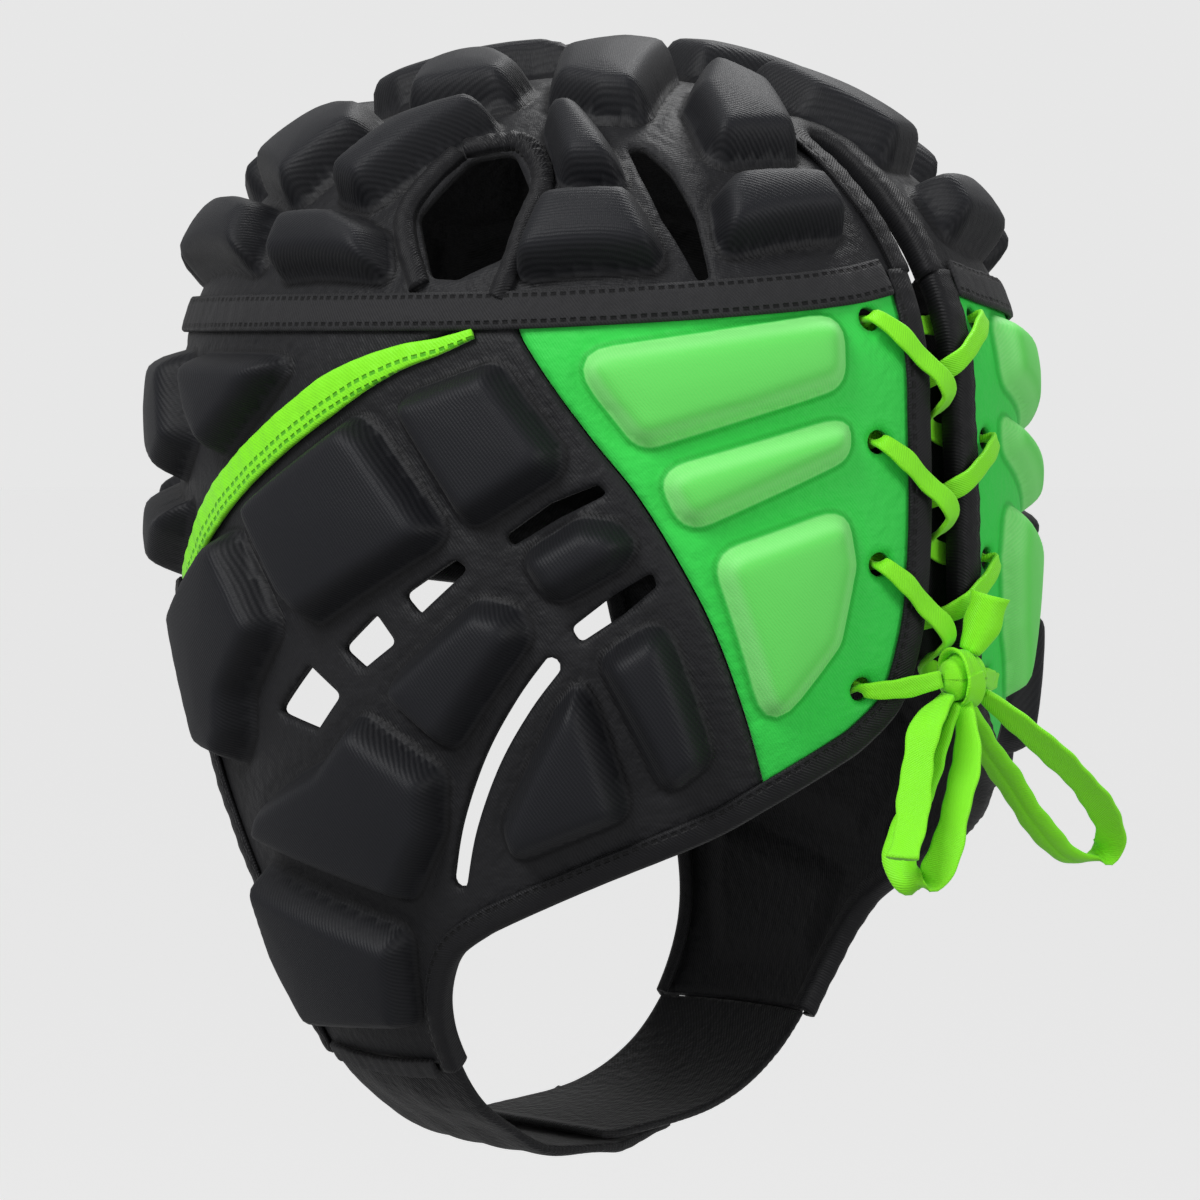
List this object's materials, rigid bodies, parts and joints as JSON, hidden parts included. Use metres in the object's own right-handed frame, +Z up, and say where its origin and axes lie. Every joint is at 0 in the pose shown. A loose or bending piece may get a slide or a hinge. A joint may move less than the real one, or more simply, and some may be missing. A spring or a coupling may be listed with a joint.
{
  "type": "rugby scrum cap",
  "caption": "Padded soft helmet for rugby: foam pads on a vented knit cap, laced at the back and held by a hook-and-loop chin strap.",
  "frame": {"origin": "highest point of the inside of the crown, where the top of the head seats", "axes": "-Y is where the wearer looks, +X is to the left of the wearer, +Z is up"},
  "size_m": [0.1862, 0.2335, 0.2528],
  "materials": {
    "padded_fabric": "matte twill knit over foam",
    "green_fabric": "matte stretch knit over foam",
    "binding_tape": "matte folded tape",
    "lime_piping": "satin stretch tape, stitched",
    "strap_fabric": "matte brushed knit",
    "tongue_fabric": "matte knit",
    "lime_lace": "satin flat woven lace"
  },
  "bodies": {
    "root": {"crown": "padded_fabric", "brow_panel": "padded_fabric", "side_panel_left": "padded_fabric", "side_panel_right": "padded_fabric", "back_panel_left": "green_fabric", "back_panel_right": "green_fabric", "head_band": "binding_tape", "slit_binding": "binding_tape", "rim_binding_left": "binding_tape", "rim_binding_right": "binding_tape", "face_binding_left": "binding_tape", "face_binding_right": "binding_tape", "brow_binding": "binding_tape", "seam_tape_left": "binding_tape", "seam_tape_right": "binding_tape", "piping_left": "lime_piping", "piping_right": "lime_piping", "chin_strap": "strap_fabric", "chin_tab": "strap_fabric", "tongue": "tongue_fabric", "lace_strand_left": "lime_lace", "lace_strand_right": "lime_lace", "lace_knot": "lime_lace", "bow_loop_left": "lime_lace", "bow_loop_right": "lime_lace", "bow_end_left": "lime_lace", "bow_end_up": "lime_lace"}
  },
  "joints": []
}
